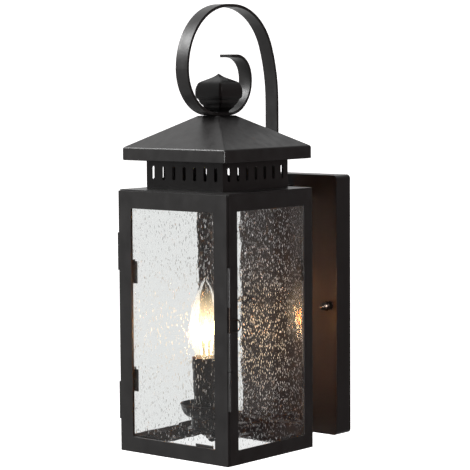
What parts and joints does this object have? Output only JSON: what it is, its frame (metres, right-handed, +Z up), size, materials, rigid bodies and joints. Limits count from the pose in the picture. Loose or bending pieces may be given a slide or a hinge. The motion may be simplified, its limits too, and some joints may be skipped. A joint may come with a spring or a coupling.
{
  "type": "outdoor wall lantern",
  "caption": "Glazed steel wall lantern with a hinged front door, a candle lamp, a vented gallery under a pyramid roof, a scrolled strap and a wall backplate.",
  "frame": {"origin": "centre of the backplate's rear plane, on the wall", "axes": "+Y into the wall, the door faces -Y, +Z up, the latch is on the +X side"},
  "size_m": [0.1461, 0.2012, 0.4397],
  "materials": {
    "black_coat": "satin black powder coat",
    "black_coat_dark": "satin black powder coat inside",
    "seeded_glass": "clear seeded glass",
    "bulb_clear": "clear blown glass",
    "zinc_steel": "zinc plated",
    "dark_steel": "blackened wire",
    "brass": "plain turned brass",
    "nickel": "nickel plated",
    "black_phenolic": "moulded phenolic",
    "sleeve_black": "satin black candle sleeve",
    "insulator": "black glass insulator",
    "filament": "lit filament",
    "wire_black": "PVC insulation",
    "wire_white": "PVC insulation",
    "wire_green": "PVC insulation",
    "connector_orange": "moulded shell"
  },
  "bodies": {
    "lantern": {"backplate": "black_coat", "mounting_bar": "zinc_steel", "mounting_studs": "zinc_steel", "cap_nuts": "black_coat", "ground_screw": "wire_green", "upper_arm": "black_coat", "arm_screws": "zinc_steel", "supply_tube": "black_coat", "tube_nuts": "dark_steel", "scroll_strap": "black_coat", "roof": "black_coat", "roof_base": "black_coat_dark", "gallery_front": "black_coat", "gallery_back": "black_coat", "gallery_left": "black_coat", "gallery_right": "black_coat", "gallery_rims": "black_coat", "gallery_screws": "zinc_steel", "top_plate": "black_coat_dark", "cage_left": "black_coat_dark", "cage_right": "black_coat_dark", "cage_back": "black_coat_dark", "bottom_ledge": "black_coat_dark", "glass_left": "seeded_glass", "glass_right": "seeded_glass", "glass_back": "seeded_glass", "glass_clips": "black_coat_dark", "lamp_bracket": "black_coat_dark", "lamp_disc": "black_coat_dark", "lamp_cup": "black_coat_dark", "drip_pan": "black_coat_dark", "nipple": "dark_steel", "nipple_nuts": "dark_steel", "candle_sleeve": "sleeve_black", "lampholder": "black_phenolic", "lampholder_shell": "brass", "lampholder_contact": "brass", "bulb_glass": "bulb_clear", "bulb_cap": "nickel", "bulb_insulator": "insulator", "bulb_contact": "zinc_steel", "bulb_stem": "bulb_clear", "bulb_filaments": "filament", "finial": "black_coat", "finial_rod": "zinc_steel", "finial_nut": "zinc_steel", "live_lead": "wire_black", "neutral_lead": "wire_white", "ground_lead": "wire_green", "wire_connectors": "connector_orange", "hinge_frame_leaves": "black_coat", "hinge_pins": "zinc_steel", "bolt_keeper": "black_coat"},
    "door": {"door_frame": "black_coat", "door_glass": "seeded_glass", "door_clips": "black_coat_dark", "hinge_door_leaves": "black_coat", "bolt_guides": "black_coat"},
    "latch": {"latch_bolt": "dark_steel"}
  },
  "joints": [
    {"name": "door_hinge", "type": "hinge", "parent": "lantern", "child": "door", "pos_m": [-0.0712, -0.1982, 0], "axis": [0, 0, -1], "range_deg": [0, 120]},
    {"name": "latch_slide", "type": "slide", "parent": "door", "child": "latch", "axis": [0, 0, 1], "range_m": [0, 0.01]}
  ]
}
